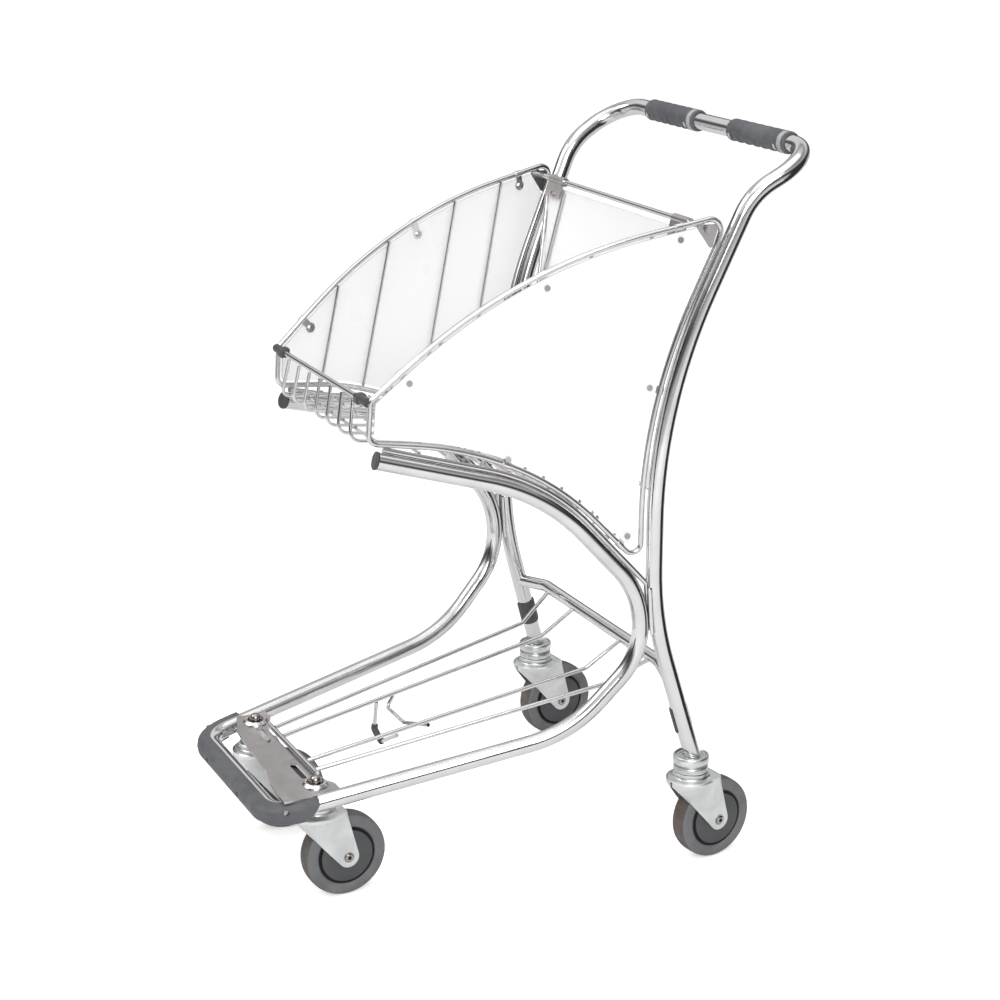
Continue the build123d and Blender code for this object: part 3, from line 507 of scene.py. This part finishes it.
def fork_side(rim):
    """Rows from the rim down to the foot: the sheet flares out to the rim at its top."""
    start, end = touch_angle(rim[0], 1), touch_angle(rim[-1], -1)
    while end < start:
        end += 2 * math.pi
    rows = []
    for level in range(SIDE_LEVELS + 1):
        drop = level / SIDE_LEVELS
        row = []
        for k, top in enumerate(rim):
            angle = start + (end - start) * k / (len(rim) - 1)
            low = Vector((FOOT_X, TRAIL + FOOT_R * math.cos(angle), AXLE_Z + FOOT_R * math.sin(angle)))
            point = top.lerp(low, drop)
            point.x = FOOT_X + (top.x - FOOT_X) * (1 - drop) ** SIDE_FLARE
            row.append(point)
        rows.append(row)
    return rows


def fork_dish(rim):
    """Closed rows from the neck under the swivel head out to the whole rim."""
    x, y, z = REAR_CORNER
    rear = [Vector((x * (1 - 2 * k / REAR_STEPS), y, z)) for k in range(1, REAR_STEPS)]
    loop = rim + rear + list(reversed(mirrored_x([rim])[0]))
    rows = []
    for radius, height in NECK:
        turns = [(p.x / math.hypot(p.x, p.y), p.y / math.hypot(p.x, p.y)) for p in loop]
        rows.append([Vector((radius * cos, radius * sin, height)) for cos, sin in turns])
    neck = rows[-1]
    for share in CROWN_SHARES:
        lift = Vector((0, 0, CROWN_LIFT * math.sin(math.pi * share)))
        rows.append([a.lerp(b, share) + lift for a, b in zip(neck, loop)])
    rows.append(loop)
    return rows


def scaled(rows):
    """Rows given in millimetres, in metres."""
    return [[point * MM for point in row] for row in rows]


def mirrored_x(rows):
    """Rows on the other side of the YZ plane."""
    return [[Vector((-point.x, point.y, point.z)) for point in row] for row in rows]


def forks():
    """Pressed sheet forks: a crown with its neck, and one side down to the axle on each side."""
    rim = fork_rim()
    dish = fork_dish(rim)
    side = [rim] + fork_side(lowered(rim))
    for name in CASTER_NAMES:
        pieces = [
            grid("dish", scaled(dish), MATERIALS["zinc_plate"], close_rows=True),
            grid("near_side", scaled(side), MATERIALS["zinc_plate"]),
            grid("far_side", scaled(mirrored_x(side)), MATERIALS["zinc_plate"]),
        ]
        fork = joined(f"fork_sheet_{name}", pieces)
        merge_points(fork.data, SEAM_GAP)
        fork.data.transform(caster_place(name))
        keep_sharp(fork, 40)
        modifier(fork, "SOLIDIFY", thickness=SHEET, offset=-1.0, use_even_offset=False)
        modifier(fork, "BEVEL", width=SHEET_EDGE, segments=2, limit_method="ANGLE",
                 angle_limit=math.radians(50))
        put(fork, f"caster_{name}", "zinc_plate", f"fork_{name}")


# ---------------------------------------------------------------- collars
# (radius, height) in millimetres; the rear ones have rings in their top, the front ones are plain
REAR_COLLAR = [
    (0.0, 147.2), (25.4, 147.2), (26.0, 147.8), (26.0, 150.6), (25.2, 151.0), (25.2, 151.8),
    (25.9, 152.2), (25.9, 154.6), (24.9, 156.0), (22.0, 156.3), (22.0, 159.0), (25.4, 159.2),
    (26.5, 160.4), (26.7, 162.0), (26.7, 168.6), (26.2, 170.6), (25.0, 171.8), (23.6, 172.0),
    (22.6, 171.2), (21.8, 169.4), (20.6, 168.8), (20.0, 169.8), (18.6, 169.8), (18.0, 168.0),
    (16.6, 167.6), (16.0, 168.8), (14.6, 168.8), (14.0, 167.0), (0.0, 166.4),
]
FRONT_COLLAR = [
    (0.0, 147.4), (20.4, 147.4), (21.0, 148.2), (21.0, 156.0), (20.2, 157.0), (20.2, 159.0),
    (21.0, 160.0), (21.0, 171.8), (20.6, 172.9), (0.0, 172.9),
]
COLLAR_STEPS = 72
LEAST_R = 0.02  # keeps the points round the axis apart from each other, in millimetres


def upright(name, profile, material, x, y):
    """A (radius, height) profile in millimetres turned about a vertical axis."""
    rows = []
    for radius, z in profile:
        reach = max(radius, LEAST_R) * MM
        turns = circle(COLLAR_STEPS)
        rows.append([Vector((x + reach * cos, y + reach * sin, z * MM)) for cos, sin in turns])
    return grid(name, rows, material, close_rows=True)


def collars():
    """The ribbed and grooved collars over the four swivels, as one piece."""
    pieces = []
    for name in CASTER_NAMES:
        x, y, _ = JOINTS[f"swivel_{name}"]["pos_m"]
        profile = FRONT_COLLAR if name.startswith("front") else REAR_COLLAR
        pieces.append(upright(name, profile, MATERIALS["zinc_plate"], x, y))
    whole = joined("collar_rings", pieces)
    keep_sharp(whole, 38)
    put(whole, "frame", "zinc_plate", "caster_collars")


# ---------------------------------------------------------------- grips
LEAST_GRIP = 20.0 * MM  # longer solids of the CAD node are grips, shorter ones are flanges
GRIP_WALL = 4.0 * MM
GRIP_STEPS, GRIP_TURNS = 120, 72
GRIP_RIBS = 5
RIB_DEPTH = 2.6 * MM
RIB_ABOVE = 0.14  # share of the depth that is left on top of the grip
RIB_FADE = 1.6  # how quickly the ribs fade round the grip towards its top
PLAIN_END = 0.1  # share of the grip without ribs, at each end
ROUNDED_LENGTH, ROUNDED_DROP = 3.5 * MM, 3.2 * MM  # the end without a flange is rounded
# (distance along, depth under the grip's surface) in millimetres
FLANGE_PROFILE = [(0.0, 4.0), (0.0, 1.6), (0.8, 1.0), (4.0, 1.0), (4.8, 1.8), (4.8, 4.0)]
FLANGE_STEPS = 64
HIGHLIGHT_PAD_SHARES = (0.06, 0.94)  # where the two pads with the painted highlight sit along a grip
HIGHLIGHT_PAD_ANGLE = math.radians(-28)  # below the middle of the grip's front
HIGHLIGHT_PAD_REACH = (5.4 * MM, 2.8 * MM)  # half sizes round the grip and along it
HIGHLIGHT_PAD_RINGS, HIGHLIGHT_PAD_TURNS = 5, 28
HIGHLIGHT_PAD_HEIGHT, HIGHLIGHT_PAD_SINK = 0.35 * MM, 0.12 * MM


def grip_body(start, end, axis, radius):
    """Rubber grip from start to end along X: ribs deep below, where the fingers close, faint above."""
    y, z = axis
    length = end - start
    bore = radius - GRIP_WALL
    rows = []
    for k in range(GRIP_STEPS + 1):
        share = k / GRIP_STEPS
        rounding = 1 - min(1.0, share * length / ROUNDED_LENGTH)
        closing = 1 - ROUNDED_DROP / radius * (1 - math.sqrt(1 - rounding ** 2))
        plain = min(1.0, share / PLAIN_END, (1 - share) / PLAIN_END)
        phase = 2 * math.pi * GRIP_RIBS * (share - PLAIN_END) / (1 - 2 * PLAIN_END)
        groove = plain * (0.5 + 0.5 * math.cos(phase))
        row = []
        for cos, sin in circle(GRIP_TURNS):
            below = 0.5 - 0.5 * sin
            depth = RIB_DEPTH * (RIB_ABOVE + (1 - RIB_ABOVE) * below ** RIB_FADE) * groove
            reach = (radius - depth) * closing
            row.append(Vector((start + length * share, y + reach * cos, z + reach * sin)))
        rows.append(row)
    for x in (end, start):
        rows.append([Vector((x, y + bore * cos, z + bore * sin)) for cos, sin in circle(GRIP_TURNS)])
    return grid("grip", rows, GRIP_RUBBER, close_rows=True, close_columns=True)


def grip_highlight_pad(x, axis, radius):
    """Small oval pad set in the grip's front lower face, painted light grey as a highlight."""
    y, z = axis
    rows = []
    for ring in range(HIGHLIGHT_PAD_RINGS):
        share = ring / (HIGHLIGHT_PAD_RINGS - 1)
        reach = radius + HIGHLIGHT_PAD_HEIGHT * (1 - share ** 4) - HIGHLIGHT_PAD_SINK
        row = []
        for cos, sin in circle(HIGHLIGHT_PAD_TURNS):
            across = HIGHLIGHT_PAD_REACH[1] * share * cos
            turn = HIGHLIGHT_PAD_ANGLE + HIGHLIGHT_PAD_REACH[0] * share * sin / radius
            row.append(Vector((x + across, y - reach * math.cos(turn), z + reach * math.sin(turn))))
        rows.append(row)
    return grid("pad_with_painted_highlight", rows, PAINTED_HIGHLIGHT, close_rows=True)


def grip_flange(start, axis, radius):
    """Thin rubber flange at one end of a grip."""
    profile = [(along * MM, radius - depth * MM) for along, depth in FLANGE_PROFILE]
    flange = turned("flange", profile, GRIP_RUBBER, FLANGE_STEPS)
    flange.data.transform(Matrix.Translation((start, *axis)))
    return flange


def grips():
    """Grips with their pads, which carry a painted highlight, and flanges, in the places of the CAD node's solids.
    """
    node_low, node_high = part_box("handle_grips")
    axis = ((node_low[1] + node_high[1]) / 2, (node_low[2] + node_high[2]) / 2)
    radius = (node_high[2] - node_low[2]) / 2
    spans = [(low.x, high.x) for low, high in islands("handle_grips")]
    pieces = []
    for start, end in spans:
        if end - start > LEAST_GRIP:
            pieces.append(grip_body(start, end, axis, radius))
            for share in HIGHLIGHT_PAD_SHARES:
                pieces.append(grip_highlight_pad(start + (end - start) * share, axis, radius))
    for start, end in spans:
        if end - start <= LEAST_GRIP:
            pieces.append(grip_flange(start, axis, radius))
    whole = joined("ribbed_grips", pieces)
    keep_sharp(whole, 50)
    put(whole, "frame", "grey_rubber", "handle_grips")


# ---------------------------------------------------------------- bolts, clips and sleeve
# (distance along the axle, radius) in millimetres; the head with the recess is at +X
BOLT_PROFILE = [
    (-28.4, 0.02), (-28.4, 5.8), (-27.4, 6.7), (-22.1, 6.8), (-22.1, 4.0), (22.05, 4.0), (22.05, 8.2),
    (22.9, 8.2), (23.1, 6.9), (22.5, 6.7), (22.5, 6.3), (24.2, 6.1), (25.0, 5.2), (25.3, 3.6),
    (25.2, 3.0), (23.6, 2.8), (23.6, 0.02),
]
BOLT_STEPS = 48
HEAD_START = 22.0 * MM
# faces of the head inside this radius, in the recess, are painted near black as shade
SHADED_RECESS_R = 3.1 * MM


def in_shaded_recess(centre, radius):
    """Tells whether a face of the bolt is in its recess, which takes the painted shade."""
    return centre.x > HEAD_START and radius < SHADED_RECESS_R


def axle_bolts():
    """Axle bolts with a round recess in the head, painted near black as shade."""
    for name in CASTER_NAMES:
        bolt = turned(f"axle_pin_{name}", in_metres(BOLT_PROFILE), BOLT_STEEL, BOLT_STEPS)
        second_material(bolt, GROOVE_SHADE, in_shaded_recess)
        bolt.data.transform(wheel_place(name))
        keep_sharp(bolt, 40)
        put(bolt, f"caster_{name}", "zinc_plate", f"axle_bolt_{name}")


# ends of the left leg's clip, on the leg's axis
CLIP_LOW = Vector((0.254175, 0.2174, 0.212))
CLIP_HIGH = Vector((0.252294, 0.2064, 0.250))
CLIP_RADII = (12.55 * MM, 14.9 * MM)
CLIP_ARC = (96.0, 274.0)  # degrees round the leg from outwards, by way of the rear
CLIP_STEPS = 40
CLIP_EDGE = 0.6 * MM  # how far the outside is rolled in at each end
CLIP_ROLLED = (0.08, 0.92)  # shares of the length where that starts and ends


def leg_clips():
    """Half sleeves on the inner side of each leg, with rolled edges."""
    axis = (CLIP_HIGH - CLIP_LOW).normalized()
    outward = Vector((1, 0, 0)) - axis * axis.x
    outward.normalize()
    rearward = axis.cross(outward)
    inner, outer = CLIP_RADII
    first, last = CLIP_ROLLED
    section = [(inner, 0.0), (outer - CLIP_EDGE, 0.0), (outer, first), (outer, last),
               (outer - CLIP_EDGE, 1.0), (inner, 1.0)]
    pieces = []
    for sign in (1, -1):
        rows = []
        for k in range(CLIP_STEPS + 1):
            angle = math.radians(CLIP_ARC[0] + (CLIP_ARC[1] - CLIP_ARC[0]) * k / CLIP_STEPS)
            way = outward * math.cos(angle) + rearward * math.sin(angle)
            row = [CLIP_LOW.lerp(CLIP_HIGH, share) + way * radius for radius, share in section]
            rows.append([Vector((sign * point.x, point.y, point.z)) for point in row])
        clip = grid("clip", rows, MATERIALS["dark_plastic"], close_rows=True)
        fill_holes(clip.data)
        pieces.append(clip)
    whole = joined("rub_clips", pieces)
    keep_sharp(whole, 35)
    put(whole, "frame", "dark_plastic", "leg_clips")


# points of the sleeve's centre line in millimetres
SLEEVE_LINE = [
    (-58.4, -147.0, 167.0), (-58.4, -147.9, 161.5), (-57.0, -148.0, 159.0), (-52.0, -148.2, 157.6),
    (-33.0, -148.9, 151.0), (-26.0, -149.9, 152.6),
]
SLEEVE_R = 5.2 * MM


def hook_sleeve():
    """Short rubber sleeve round the lowest bend of the front hook."""
    line = bpy.data.curves.new("hook_cover", "CURVE")
    line.dimensions = "3D"
    line.bevel_depth = SLEEVE_R
    line.bevel_resolution = 8
    line.resolution_u = 8
    line.use_fill_caps = True
    run = line.splines.new("NURBS")
    run.points.add(len(SLEEVE_LINE) - 1)
    for spot, (x, y, z) in zip(run.points, SLEEVE_LINE):
        spot.co = (x * MM, y * MM, z * MM, 1.0)
    run.order_u = 3
    run.use_endpoint_u = True
    line.materials.append(MATERIALS["dark_plastic"])
    cover = bpy.data.objects.new("hook_cover", line)
    bpy.context.scene.collection.objects.link(cover)
    put(cover, "frame", "dark_plastic", "hook_sleeve")


for caster_name in CASTER_NAMES:
    tyre(caster_name)
    wheel_disc(caster_name)
forks()
collars()
grips()
axle_bolts()
leg_clips()
hook_sleeve()

# ---------------------------------------------------------------- stage
FLOOR_REACH = 30.0  # metres from the middle of the floor to each edge
FLOOR_GLOW = 0.52  # lifts the floor to the white of the backdrop, as an overexposed sweep
# (how high a direction points, brightness) for reflections: 0 is level and below, 1 is straight up
HEIGHT_LIGHT = [
    (0.0, 0.45), (0.05, 0.12), (0.2, 0.08), (0.34, 0.25), (0.42, 0.85), (0.62, 0.8), (0.7, 0.3),
    (0.82, 0.7), (1.0, 0.8),
]
# the same for how far a direction points towards WALL_SIDE; 0 is square to it and away from it
WALL_SIDE = (0.6, 0.8, 0.0)
WALL_LIGHT = [(0.0, 1.0), (0.3, 1.0), (0.75, 0.55), (1.0, 0.4)]
WHITE = (1.0, 1.0, 1.0)
# name, place, target, (width, height), watts
LIGHTS = [
    ("overhead", (0.3, -0.4, 4.2), (0, 0, 0), (4.5, 4.5), 45),
    ("key", (-1.2, -2.8, 3.2), (0, 0, 0.5), (1.8, 1.8), 35),
    ("fill", (3.5, -1.2, 2.6), (0, 0, 0.5), (2.4, 2.4), 80),
]
# name, place on the floor, width, height
CARDS = [
    ("flag_right", (0.52, 0.92), 0.8, 1.2),
    ("flag_left", (0.5, -1.7), 0.5, 1.3),
]
# the photograph's camera; the azimuth runs from the front towards the user's left
CAMERA_PLACE = (2.84464, -1.34676, 1.51995)
CAMERA_AZIMUTH, CAMERA_ELEVATION, CAMERA_ROLL = math.radians(64.05), math.radians(17.56), math.radians(0.04)
CAMERA_LENS, CAMERA_SENSOR = 79.8, 36.0


def flat_piece(name, corners, material):
    """A flat stage piece with one face."""
    mesh = bpy.data.meshes.new(name)
    made = bmesh.new()
    made.faces.new([made.verts.new(corner) for corner in corners])
    made.to_mesh(mesh)
    made.free()
    mesh.materials.append(material)
    obj = bpy.data.objects.new(name, mesh)
    bpy.context.scene.collection.objects.link(obj)
    return obj


def stage_floor():
    """Pale floor with a faint glow that only the camera sees."""
    material, tree, shader = new_material("floor_paint", (0.9, 0.9, 0.9), roughness=0.9)
    shader.inputs["Emission Color"].default_value = (*WHITE, 1.0)
    path = node(tree, "ShaderNodeLightPath")
    glow = node(tree, "ShaderNodeMath", operation="MULTIPLY")
    glow.inputs[1].default_value = FLOOR_GLOW
    tree.links.new(path.outputs["Is Camera Ray"], glow.inputs[0])
    tree.links.new(glow.outputs[0], shader.inputs["Emission Strength"])
    signs = ((-1, -1), (1, -1), (1, 1), (-1, 1))
    corners = [(FLOOR_REACH * x, FLOOR_REACH * y, 0.0) for x, y in signs]
    floor = flat_piece("floor", corners, material)


def area_light(name, place, target, size, power):
    """A rectangular light turned towards its target."""
    data = bpy.data.lights.new(name, "AREA")
    data.shape = "RECTANGLE"
    data.size, data.size_y = size
    data.energy = power
    light = bpy.data.objects.new(name, data)
    light.location = place
    light.rotation_euler = (Vector(target) - Vector(place)).to_track_quat("-Z", "Y").to_euler()
    bpy.context.scene.collection.objects.link(light)


def grey_ramp(tree, factor, steps):
    """Turns a factor into grey by a list of (factor, brightness) steps."""
    ramp = node(tree, "ShaderNodeValToRGB")
    elements = ramp.color_ramp.elements
    elements[0].position, elements[1].position = steps[0][0], steps[-1][0]
    for element, value in ((elements[0], steps[0][1]), (elements[1], steps[-1][1])):
        element.color = (value, value, value, 1)
    for place, value in steps[1:-1]:
        elements.new(place).color = (value, value, value, 1)
    tree.links.new(factor, ramp.inputs["Fac"])
    return ramp.outputs["Color"]


def world_light():
    """White backdrop seen directly; reflections see the ramps of height and walls instead."""
    world = bpy.data.worlds.new("studio")
    bpy.context.scene.world = world
    world.use_nodes = True
    tree = world.node_tree
    background = tree.nodes["Background"]
    coordinates = node(tree, "ShaderNodeTexCoord")
    split = node(tree, "ShaderNodeSeparateXYZ")
    tree.links.new(coordinates.outputs["Generated"], split.inputs[0])
    height = grey_ramp(tree, split.outputs["Z"], HEIGHT_LIGHT)
    side = node(tree, "ShaderNodeVectorMath", operation="DOT_PRODUCT")
    side.inputs[1].default_value = WALL_SIDE
    tree.links.new(coordinates.outputs["Generated"], side.inputs[0])
    wall = grey_ramp(tree, side.outputs["Value"], WALL_LIGHT)
    product = node(tree, "ShaderNodeMix", data_type="RGBA", blend_type="MULTIPLY")
    product.inputs[MIX_FACTOR].default_value = 1.0
    tree.links.new(height, product.inputs[MIX_FIRST])
    tree.links.new(wall, product.inputs[MIX_SECOND])
    path = node(tree, "ShaderNodeLightPath")
    seen = blend_colors(tree, path.outputs["Is Camera Ray"], product.outputs[MIX_RESULT], WHITE)
    tree.links.new(seen, background.inputs["Color"])
    background.inputs["Strength"].default_value = 1.0


def flag(name, place, width, height):
    """Black card beside the trolley that only mirrors see; it gives the tubes their dark edges."""
    x, y = place
    along = Vector((-y, x, 0)).normalized() * (width / 2)
    rise = Vector((0, 0, height))
    foot = Vector((x, y, 0))
    corners = [foot - along, foot + along, foot + along + rise, foot - along + rise]
    material = new_material(name, (0.03, 0.03, 0.032), roughness=1.0)[0]
    card = flat_piece(name, corners, material)
    card.visible_camera = False
    card.visible_diffuse = False
    card.visible_shadow = False


def camera():
    """The camera that the photograph was taken from."""
    data = bpy.data.cameras.new("camera")
    data.sensor_width = CAMERA_SENSOR
    data.lens = CAMERA_LENS
    eye = bpy.data.objects.new("camera", data)
    forward = Vector((
        -math.sin(CAMERA_AZIMUTH) * math.cos(CAMERA_ELEVATION),
        math.cos(CAMERA_AZIMUTH) * math.cos(CAMERA_ELEVATION),
        -math.sin(CAMERA_ELEVATION),
    ))
    turn = forward.to_track_quat("-Z", "Y").to_matrix() @ Matrix.Rotation(CAMERA_ROLL, 3, "Z")
    eye.matrix_world = Matrix.Translation(CAMERA_PLACE) @ turn.to_4x4()
    bpy.context.scene.collection.objects.link(eye)
    bpy.context.scene.camera = eye


stage_floor()
world_light()
for light in LIGHTS:
    area_light(*light)
for card in CARDS:
    flag(*card)
camera()
bpy.context.scene.view_settings.view_transform = "Standard"
